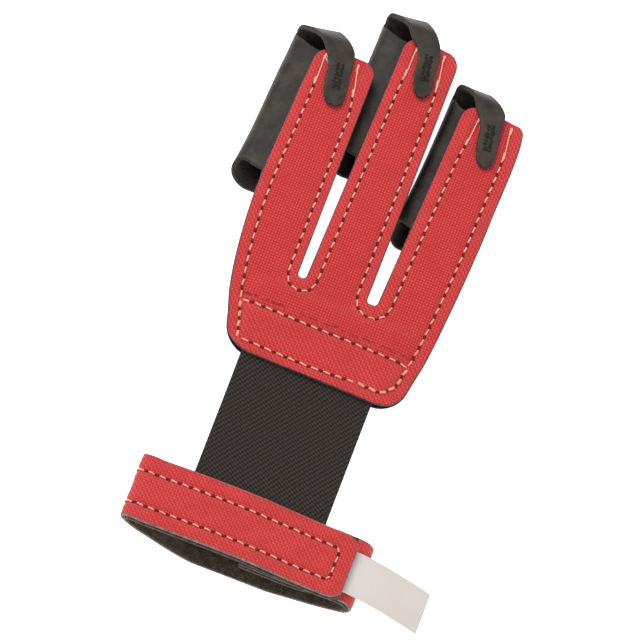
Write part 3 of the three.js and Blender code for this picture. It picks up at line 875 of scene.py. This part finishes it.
# Seams of the back panel
outer_inset = 3.9
inner_insets = {(0, 1): 3, (1, 0): 3.6, (1, 1): 3.3, (2, 0): 4.4}
cross_row = 17
hem_row = 4


def strap_seam(k, side):
    """Stitch path down one side of strap k, from its tip to the slots' ends."""
    tip = tip_of(k) - 1.2
    y = np.linspace(tip, web_height, 60)
    edge = strap_sides(k, y)[side]
    outer = (k, side) in ((0, 0), (2, 1))
    base = outer_inset if outer else inner_insets[k, side]
    inset = base + (fingers[k]["ends"][side] - base) * ramp(tip - 20, tip, y)
    return np.stack([edge + (inset if side == 0 else -inset), y], -1)


def slot_seam(slot):
    """Stitch path down one side of a slot, round its end and up the other side."""
    above, depth = slots[slot]["bend"]
    bend_start = web_height + above
    down, up = (seam[seam[:, 1] > bend_start] for seam in (strap_seam(slot, 1), strap_seam(slot + 1, 0)))
    up = up[::-1]
    left, right = down[-1], up[0]
    angle = np.linspace(math.pi, 2 * math.pi, 20)[1:-1]
    half = (right[0] - left[0]) / 2
    bend = np.stack([
        (left[0] + right[0]) / 2 + half * np.cos(angle),
        bend_start + depth * np.sin(angle),
    ], -1)
    return down, bend, up


def side_seam(side):
    """Stitch path from the web down one outer side to the hem's corner."""
    y = np.linspace(web_height, hem_row + (0.5 if side == 0 else 4.5), 20)
    edge = strap_edges(y)[0 if side == 0 else 5]
    return np.stack([edge + (outer_inset if side == 0 else -outer_inset), y], -1)


left_side, right_side = side_seam(0), side_seam(1)
hem_left = left_side[-1] + (0.8, -0.6)
hem_right = right_side[-1] + (-3.4, -5.2)
hem_middle = np.array([(hem_left[0] + hem_right[0]) / 2, hem_row - 0.9])
cross_left, cross_right = (
    np.array([np.interp(cross_row, side[::-1, 1], side[::-1, 0]), cross_row - drop])
    for side, drop in ((left_side, 0.6), (right_side, 2.1))
)
slot_seams = [slot_seam(0), slot_seam(1)]
outer_path = np.concatenate([
    strap_seam(0, 0), left_side[1:], [hem_left, hem_middle, hem_right],
    right_side[::-1][:-1], strap_seam(2, 1)[::-1],
])
cross_path = np.stack([cross_left, cross_right])
panel_seams = [outer_path, cross_path] + [np.concatenate(seam) for seam in slot_seams]

# Back tacks at the straps' tips, as long threads over the last stitches of each seam: their first and
# last place, and how far they lean, their width, rise and steps
tack_length = 12
tack_rows = (
    (0.2, tack_length, -0.3, 0.46, 0.62, 24),
    (tack_length - 2.6, tack_length + 0.5, -0.05, 0.85, 0.5, 11),
    (0.4, 3.4, 0.1, 0.75, 0.6, 11),
)
skipped_points = 7


def crease(x, y):
    """Worn fold across the panel at the end of the elastic inside it."""
    line = fold_place + fold_slope * x + 0.5 * np.sin(x / 4.3) + 0.3 * np.sin(x / 1.9 + 1)
    strength = 0.55 + 0.45 * np.sin(x / 5.1 + 0.7) * np.sin(x / 2.3)
    return -0.28 * strength * np.exp(-(((y - line) / 0.6) ** 2))


def tightness(x, y):
    """How tightly the panel's cloth is drawn, 0 to 1: over the elastic and outside the seams. It sets the
    strength of the diagonal ridges' painted highlights and keeps the crease's painted shade away.
    """
    edges = strap_edges(y)
    outer = np.minimum(x - edges[0], edges[5] - x)
    inner = np.min([np.abs(x - edge) for edge in edges[1:5]], axis=0)
    beside = np.where(y > web_height - 4, np.minimum(outer, inner), outer)
    return np.maximum(1 - ramp(14, 20, y), 1 - ramp(3, 4.6, beside))


def strap_number(flat):
    """Number of the strap nearest to flat places."""
    edges = strap_edges(flat[..., 1])
    first = (edges[1] + edges[2]) / 2
    second = (edges[3] + edges[4]) / 2
    return (flat[..., 0] > first).astype(int) + (flat[..., 0] > second)


def on_panel(flat):
    """Points and ups of the fabric's top at flat places, at the bottom of its stitch grooves."""
    k = strap_number(flat)
    x, y = flat[..., 0], flat[..., 1]
    height = panel_top(k, x, y) - groove_depth
    small = 0.2
    slope_x = (panel_top(k, x + small, y) - panel_top(k, x - small, y)) / (2 * small)
    slope_y = (panel_top(k, x, y + small) - panel_top(k, x, y - small)) / (2 * small)
    ups = unit(np.stack([-slope_x, -slope_y, np.ones_like(x)], -1))
    return np.stack([x, y, height], -1), ups


def build_panel():
    """Red fabric and its black lining."""
    places = panel_places(-0.15, fabric_cell)
    x, y, k = places[..., 0], places[..., 1], np.nan_to_num(places[..., 2])
    flat = places[..., :2]
    relief = seam_relief(distance_to(panel_seams, flat)) + crease(x, y)
    top = panel_top(k, x, y)
    grid = np.stack([x, y, top - cloth / 2], -1)
    red = piece(
        "back_fabric",
        [sheet(grid, flat, cloth / 2 + relief, cloth / 2 + 0.22, 0.3, (0, 0, 1), tight=tightness(x, y))],
        [fabric, panel_edge], ["dorsal_fabric"], slot="red_fabric",
    )
    places = panel_places(lining_show - 0.5, lining_cell)
    x, y, k = places[..., 0], places[..., 1], np.nan_to_num(places[..., 2])
    grid = np.stack([x, y, panel_underside(k, x, y) + ripple(x, y) + cloth / 2], -1)
    dark = piece(
        "back_lining",
        [sheet(grid, places[..., :2], cloth / 2, cloth / 2, 0.28)],
        [dark_lining], ["dorsal_lining"], slot="black_lining",
    )


def tip_threads(first, last, lean):
    """Flat ends of threads over the last stitches of each seam, between two places from its tip."""
    starts, ends = [], []
    for path in (strap_seam(k, side) for k in range(3) for side in (0, 1)):
        start, end = along_path(path, path_lengths(path), np.array([first, last]))
        starts.append(start + (lean, 0))
        ends.append(end - (lean, 0))
    return np.array(starts), np.array(ends)


# Loose thread ends by the tabs, as their flat ends
loose_ends = (
    np.array([(-31.5, 104.7), (-31.2, 105.6), (-6.1, 120.6)]),
    np.array([(-29.2, 102.4), (-29.9, 103.9), (-4.7, 121.1)]),
)


def joined(pairs):
    """Flat ends of several rows of threads as one row."""
    return tuple(np.concatenate([pair[end] for pair in pairs]) for end in (0, 1))


def build_stitches():
    """Stitches of the back panel with dark threads between them as painted shade of the needle holes,
    doubled beside the hem.
    """
    skip = skipped_points
    (upper_left, lower_left), (upper_right, lower_right) = (
        (side[side[:, 1] > cross[1]], side[side[:, 1] < cross[1]])
        for side, cross in ((left_side, cross_left), (right_side, cross_right))
    )
    corner_start = hem_right - (9, -0.4)
    single = [
        *(np.concatenate([down[skip:], bend, up[:-skip]]) for down, bend, up in slot_seams),
        np.concatenate([strap_seam(0, 0)[skip:], upper_left[1:], [cross_left]]),
        np.stack([hem_left, hem_middle, corner_start]),
        np.concatenate([[cross_right], upper_right[:0:-1], strap_seam(2, 1)[:skip:-1]]),
        cross_path,
    ]
    double = [
        np.concatenate([[cross_left], lower_left, [hem_left]]),
        np.concatenate([[cross_right], lower_right, [hem_right, corner_start]]),
    ]
    single_rows = [stitch_row(row) for row in single]
    double_rows = [stitch_row(row, double_gap, double_slant) for row in double]
    tacks = [
        laid_threads(tip_threads(first, last, lean), on_panel, width, rise, tack_dip, steps)
        for first, last, lean, width, rise, steps in tack_rows
    ]
    cream = [
        stitches(joined([row[0] for row in single_rows]), on_panel),
        *tacks,
        laid_threads(loose_ends, on_panel, 0.42, 0.9, -0.6),
    ]
    piece("panel_stitches", cream, [cream_thread], slot="red_fabric")
    doubled = joined([row[0] for row in double_rows])
    tan = laid_threads(doubled, on_panel, double_width, double_rise, stitch_dip)
    piece("panel_double_stitches", [tan], [tan_thread], slot="red_fabric")
    # Dark threads in the needle holes, as painted shade.
    dark = hole_shade_dashes(joined([row[1] for row in single_rows + double_rows]), on_panel)
    piece("panel_needle_holes", [dark], [hole_shade_thread], slot="red_fabric")


# Finger stalls


def stall_section(k, y):
    """Section of a finger's stall at a height along the panel, as points in X and Z."""
    finger, tip, mouth = fingers[k], tip_of(k), mouth_of(k)
    left, right = (float(edge) for edge in strap_sides(k, min(y, tip)))
    share = (y - mouth) / (tip - mouth)
    bulge = side_bulge * (finger["tip"] + (finger["mouth"] - finger["tip"]) * (1 - share) ** 4)
    section = []
    for side, out, up, _, _ in section_rows:
        if side in ("turn", "under"):
            x = left + out * (seam_inset if side == "turn" else bulge)
            section.append((x, float(seam_height(k, x, y)) - up * flange_gap))
            continue
        x = right + out * seam_inset if side == "right" else left - out * bulge
        top = float(seam_height(k, min(max(x, left), right), y))
        section.append((x, half_leather + (top - half_leather) * up))
    return np.array(section)


def stall_grid(k):
    """Coarse grid of the tube, the fingertip cap and the tab."""
    finger, tip, mouth = fingers[k], tip_of(k), mouth_of(k)
    lips = np.array([row[3] for row in section_rows])
    rims = np.array([row[4] for row in section_rows])
    tube_steps = 9
    grid = []
    for share in np.linspace(0, 1, tube_steps + 1):
        even = mouth + mouth_lip + (tip + rim_reach - mouth - mouth_lip) * share
        section = stall_section(k, even)
        y = even - mouth_lip * lips * (1 - share) ** 2 - rim_reach * (1 - rims) * share**4
        grid.append(np.stack([section[:, 0], y, np.maximum(section[:, 1], half_leather)], -1))

    def row_between(right, left, sag):
        row = np.full((len(section_rows), 3), np.nan)
        share = np.linspace(0, 1, cap_last - cap_first + 1)[:, None]
        made = right + (left - right) * share
        made[:, 2] -= sag * stall_height * np.sin(math.pi * share[:, 0])
        made[:, 2] = np.maximum(made[:, 2], half_leather)
        row[cap_first:cap_last + 1] = made
        return row

    centre, half = middle_of(k)
    bulged = half + side_bulge * finger["tip"]
    tab_rise = clearance + half_leather
    tab_height = float(panel_top(k, centre, tip)) + tab_rise - half_leather
    for right_x, right_reach, right_up, left_x, left_reach, left_up, sag in cap_rows:
        right_y = tip + right_reach * finger["cap_right"] * cap_reach
        left_y = tip + left_reach * finger["cap_left"] * cap_reach
        right = (centre + (right_x + finger["cap"]) * half, right_y, half_leather + right_up * tab_height)
        left = (centre + left_x * bulged, left_y, half_leather + left_up * tab_height)
        grid.append(row_between(np.array(right), np.array(left), sag))
    for at, tab_left, tab_right in zip(tab_table["at"], tab_table["left"], tab_table["right"]):
        y = tip - at * tab_length
        height = float(panel_top(k, centre, y)) + tab_rise
        edges = [np.array([centre + edge * half, y, height])
                 for edge in (tab_right + finger["tab"] / 2, tab_left + finger["tab"])]
        grid.append(row_between(*edges, 0))
    return np.array(grid)


def grid_lengths(grid):
    """Flat places of a grid: mean lengths along its columns and its rows."""
    def summed(points, axis):
        step = np.linalg.norm(np.diff(points, axis=axis), axis=2)
        total = np.nancumsum(step, axis=axis)
        return np.concatenate([np.zeros_like(total.take([0], axis)), total], axis)
    return np.stack([summed(grid, 1), summed(grid, 0)], -1)


def flange_grid(k):
    """Leather under the strap's left edge, which the turned tube is sewn to."""
    y = np.linspace(mouth_of(k) + mouth_lip / 4, tip_of(k) - rim_reach, 36)
    edge = strap_sides(k, y)[0]
    rows = []
    for inset in np.linspace(1.45, -0.05, 6) * seam_inset:
        x = edge + inset
        rows.append(np.stack([x, y, seam_height(k, x, y)], -1))
    return np.array(rows).swapaxes(0, 1)


def build_stall(k):
    finger = fingers[k]["name"]
    grid = smooth_grid(stall_grid(k), 4, 6)
    flange = flange_grid(k)
    parts = [
        sheet(grid, grid_lengths(grid), half_leather, half_leather, 0.35, (0, 1, 2), 6),
        sheet(flange, grid_lengths(flange), half_leather, half_leather, 0.35, (0, 1, 2), 6),
    ]
    skins = [leather_skin, suede, raw_leather]
    piece(f"{finger}_stall_leather", parts, skins, [f"stall_{finger}"], slot="black_leather")


def on_tab(k):
    """Surface of a finger's tab for flat places, in the part's X and Y."""
    def surface(flat):
        height = panel_top(k, middle_of(k)[0], flat[..., 1]) + clearance + leather
        ups = np.zeros(flat.shape[:-1] + (3,))
        ups[..., 2] = 1
        return np.concatenate([flat, height[..., None]], -1), ups
    return surface


# Black stitches on a tab: how far from the tip they reach, and their pitch
tack_reach = (4.5, 13.5)
tack_pitch = 0.62


def build_bar_tack(k):
    """Dense, uneven black stitches that hold a tab to its strap."""
    centre, half = middle_of(k)
    y = np.arange(tip_of(k) - tack_reach[1], tip_of(k) - tack_reach[0], tack_pitch)
    share = (tip_of(k) - y) / tab_length
    edges = look_up(tab_table, share, "left") + look_up(tab_table, share, "right")
    middle = centre + half * (edges / 2 + 0.75 * fingers[k]["tab"])
    starts, ends = [], []
    for offset, reach in ((-1.4, 1.3), (0.1, 1.4)):
        uneven = dice.uniform(-0.3, 0.3, (4, len(y)))
        starts.append(np.stack([middle + offset + uneven[0], y + uneven[1]], -1))
        ends.append(np.stack([middle + offset + reach + uneven[2], y + uneven[3]], -1))
    pairs = (np.concatenate(starts), np.concatenate(ends))
    part = laid_threads(pairs, on_tab(k), 0.5, 0.14, 0.12, 7)
    piece(f"{fingers[k]['name']}_tab_stitches", [part], [black_thread], slot="black_leather")


# Wrist strap
strap_top = -elastic_span
front_height = loop_height - cloth / 2
end_zone = 6
layer_step = cloth + clearance
room_edge = half_elastic + 2 * clearance
room_end = room_edge + pocket_ramp / 2


def smooth_path(points, step):
    """Evenly spaced points on a centripetal curve through points."""
    points = np.array(points, float)
    points = np.concatenate([[2 * points[0] - points[1]], points, [2 * points[-1] - points[-2]]])
    fine = []
    for p0, p1, p2, p3 in zip(points, points[1:], points[2:], points[3:]):
        d0, d1, d2 = (math.sqrt(np.linalg.norm(b - a)) for a, b in ((p0, p1), (p1, p2), (p2, p3)))
        leave = ((p1 - p0) / d0 - (p2 - p0) / (d0 + d1) + (p2 - p1) / d1) * d1
        arrive = ((p2 - p1) / d1 - (p3 - p1) / (d1 + d2) + (p3 - p2) / d2) * d1
        fine.append(cubic(np.linspace(0, 1, 40, endpoint=False)[:, None], p1, p2, leave, arrive))
    fine = np.concatenate(fine + [points[-2:-1]])
    lengths = path_lengths(fine)
    places = np.concatenate([
        np.linspace(0, end_zone, 20, endpoint=False),
        np.linspace(end_zone, lengths[-1], round((lengths[-1] - end_zone) / step) + 1),
    ])
    return along_path(fine, lengths, places)


def patch_height():
    return front_height - layer_step - clearance - cloth


def fold_back_height():
    return patch_height() - clearance - cloth


def loop_path(step):
    """Centre line of the red strap: X, height and skew along Y."""
    half = (loop_width - cloth) / 2
    rise = loop_height - cloth
    low = cloth / 2
    fold = half - front_overhang
    under = fold_back_height()
    lowered = under - elastic_thickness - clearance
    points = [(fold, front_height, -strap_skew)]
    points += [(x * half, low + up * rise, skew * strap_skew) for x, up, skew in loop_rows]
    back_skew = 0.4 * strap_skew
    points += [
        (fold + 0.6 * front_overhang, low + 0.7 * rise, back_skew),
        (fold - 0.6 * front_overhang, under, back_skew),
        (half_elastic + pocket_ramp / 2 + clearance, under, back_skew),
        (half_elastic - clearance, lowered, back_skew),
        (half - front_overhang - fold_back_reach, lowered, back_skew),
    ]
    path = smooth_path(points, step)
    path[:, 1] = np.maximum(path[:, 1], low)
    return path


def path_normals(path):
    """Directions away from the loop's inside, in X and height."""
    along = unit(np.gradient(path[:, :2], axis=0))
    return np.stack([along[:, 1], -along[:, 0]], -1)


def lining_path(path, over_elastic):
    """Centre line of the lining: inside the strap, and lower where the elastic lies between them."""
    front = (np.arange(len(path)) < len(path) / 2) & (path[:, 1] > loop_height / 2)
    room = (elastic_thickness + clearance) * (1 - ramp(room_edge, room_end, np.abs(path[:, 0])))
    away = layer_step + np.where(front, room * over_elastic, 0)
    moved = path.copy()
    moved[:, :2] -= path_normals(path) * away[:, None]
    return moved


def band_grid(path, edge_path, margin, start_corner, cell):
    """Band along a path in X and height, across the strap's width, with a rounded start. Past the
    end of the elastic it closes up to the path of its edge."""
    lengths = path_lengths(path)
    inset = corner_inset(lengths + 0.15 * start_corner, start_corner) - margin
    share = np.linspace(1, 0, round(strap_width / cell) + 1)
    across = inset[:, None] + (strap_width - 2 * inset[:, None]) * share
    last = (elastic_in_strap + 1) / strap_width
    closed = np.clip((share - last) / (1 - last), 0, 1)[None, :, None]
    placed = path[:, None] + (edge_path - path)[:, None] * closed
    grid = np.stack([placed[..., 0], strap_top + placed[..., 2] - across, placed[..., 1]], -1)
    flat = np.stack([np.broadcast_to(lengths[:, None], across.shape), across], -1)
    return grid, flat


strap_path = loop_path(fabric_cell)
strap_lengths = path_lengths(strap_path)
strap_rows = (5.7, 17.3)
strap_row_start = 5


def on_strap(flat):
    """Points and ups of the wrist strap's outer face, at flat places along and across it."""
    normal = path_normals(strap_path)

    def at(values):
        return np.interp(flat[..., 0], strap_lengths, values)

    ups = unit(np.stack([at(normal[:, 0]), np.zeros(flat.shape[:-1]), at(normal[:, 1])], -1))
    x, z, skew = (at(column) for column in strap_path.T)
    middle = np.stack([x, strap_top + skew - flat[..., 1], z], -1)
    height = cloth / 2 + ripple(flat[..., 0], flat[..., 1]) - groove_depth
    return middle + ups * height[..., None], ups


def build_wrist():
    """Red wrist strap, its fuzzy lining, and its two rows of stitches, joined near its front end."""
    end = strap_lengths[-1] - end_zone
    upper, lower = strap_rows
    seam = np.array([(end, upper), (strap_row_start, upper), (strap_row_start, lower), (end, lower)])
    grid, flat = band_grid(strap_path, strap_path, -0.15, strap_end_corner, fabric_cell)
    relief = seam_relief(distance_to([seam], flat)) + ripple(flat[..., 0], flat[..., 1])
    part = sheet(grid, flat, cloth / 2 + relief, cloth / 2 + 0.15, 0.3, (0, 0, 1), tight=1)
    places, numbers = part[2][part[1][:, 0], 0], part[4]
    numbers[places > strap_lengths[-1] - fold_back_reach] = 2
    cloths = [fabric, frayed, brown_lining]
    red = piece("wrist_fabric", [part], cloths, ["wrist_strap"], slot="red_fabric")
    line = loop_path(lining_cell)
    lines = lining_path(line, True), lining_path(line, False)
    grid, flat = band_grid(*lines, lining_show - 0.2, strap_end_corner, lining_cell)
    brown = piece(
        "wrist_fuzzy_lining",
        [sheet(grid, flat, cloth / 2, cloth / 2, 0.3)],
        [brown_lining], ["wrist_lining"], slot="brown_lining",
    )
    over, under = stitch_row(seam)
    piece("wrist_stitches", [stitches(over, on_strap)], [cream_thread], slot="red_fabric")
    # Dark threads between the stitches, as painted shade in the needle holes.
    piece("wrist_needle_holes", [hole_shade_dashes(under, on_strap)], [hole_shade_thread], slot="red_fabric")


def build_elastic():
    places = np.linspace(elastic_in_panel, strap_top - elastic_in_strap, 120)
    x = np.linspace(-half_elastic, half_elastic, 60)
    panel_place = cloth + clearance + elastic_thickness / 2
    strap_place = front_height - cloth / 2 - clearance - elastic_thickness / 2
    in_panel = panel_underside(1, 0, np.maximum(places, -hem_tilt)) + panel_place
    share = ramp(-hem_tilt, strap_top + hem_tilt, places)
    height = in_panel + (strap_place - in_panel) * share
    across, along = np.meshgrid(x, places)
    free = ramp(-hem_tilt, -8, along) * (1 - ramp(strap_top + 6, strap_top, along))
    swell = np.sin(across / 4.4 + 0.6) * np.sin(along / 6.5) + 0.5 * np.sin(along / 3.1 + across / 9)
    wave = 0.16 * free * swell
    grid = np.stack([across, along, height[:, None] + wave], -1)
    turn = math.radians(56)
    flat = np.stack([
        across * math.cos(turn) + along * math.sin(turn),
        across * math.sin(turn) - along * math.cos(turn),
    ], -1)
    half = elastic_thickness / 2
    part = sheet(grid[:, ::-1], flat[:, ::-1], half, half, 0.25)
    band = piece("elastic_webbing", [part], [elastic_web], ["elastic_band"], slot="black_elastic")


def build_patch():
    height = patch_height() - elastic_thickness - clearance
    x = np.linspace(half_elastic - clearance - patch_length, half_elastic - clearance, 30)
    y = strap_top - strap_skew / 2 - np.linspace(2, strap_width - 2, 24)
    across, along = np.meshgrid(x, y)
    grid = np.stack([across, along, np.full_like(across, height)], -1)
    part = sheet(grid[:, ::-1], grid[:, ::-1, :2], cloth / 2, cloth / 2, 0.2)
    piece("fastener_patch", [part], [fastener], ["closure_patch"], slot="black_fastener")


def build_label():
    """White tag, a ribbon folded double at its free end."""
    start = loop_width / 2 - front_overhang - label_tucked
    middle = strap_top - strap_width / 2 - strap_skew / 2
    x = start + np.linspace(0, label_length, 60)
    free = np.maximum(0, (x - start - label_tucked) / (label_length - label_tucked))
    height = patch_height() - label_drop * free**1.6 + 0.12 * np.sin(x / 3) * free
    ply, gap = 0.3, 0.42
    turn = np.linspace(0, math.pi, 8)[1:-1]
    loop_x = np.concatenate([x, x[-1] + gap / 2 * np.sin(turn), x[::-1]])
    loop_z = np.concatenate([
        height + gap / 2, height[-1] + gap / 2 * np.cos(turn), height[::-1] - gap / 2,
    ])
    loop_free = np.concatenate([free, np.ones(len(turn)), free[::-1]])
    share = np.linspace(-0.5, 0.5, 24)
    curl = 0.25 * loop_free[:, None] * (2 * share[None, :]) ** 2
    grid = np.stack([
        np.broadcast_to(loop_x[:, None], (len(loop_x), len(share))),
        middle - label_turn * loop_free[:, None] + share[None, :] * label_width,
        loop_z[:, None] - curl,
    ], -1)
    lengths = path_lengths(np.stack([loop_x, loop_z], -1))
    flat = np.stack(np.broadcast_arrays(lengths[:, None], share[None, :] * label_width), -1)
    part = sheet(grid, flat, ply / 2, ply / 2, 0.05)
    tag = piece("blank_tag", [part], [satin], ["label_tag"], slot="white_satin")


def add_floor():
    bpy.ops.mesh.primitive_plane_add(size=3)
    floor = bpy.context.object
    floor.name = "floor"
    floor.data.materials.append(pale_floor())


def add_light(name, size, power, place):
    light = bpy.data.lights.new(name, "AREA")
    light.shape = "DISK"
    light.size = size
    light.energy = power
    holder = bpy.data.objects.new(name, light)
    holder.location = place
    holder.rotation_mode = "QUATERNION"
    holder.rotation_quaternion = (-Vector(place)).to_track_quat("-Z", "Y")
    bpy.context.scene.collection.objects.link(holder)


def add_lights():
    world = bpy.data.worlds.new("studio")
    world.use_nodes = True
    world.node_tree.nodes["Background"].inputs["Color"].default_value = (1, 1, 1, 1)
    world.node_tree.nodes["Background"].inputs["Strength"].default_value = 0.52
    bpy.context.scene.world = world
    add_light("key_softbox", 0.5, 4.8, (-0.35, 0.35, 0.75))
    add_light("fill_softbox", 0.8, 3, (0.3, -0.5, 0.8))
    bpy.context.scene.view_settings.view_transform = "Standard"


add_camera()
build_panel()
build_stitches()
for number in range(3):
    build_stall(number)
    build_bar_tack(number)
build_elastic()
build_wrist()
build_patch()
build_label()
add_floor()
add_lights()
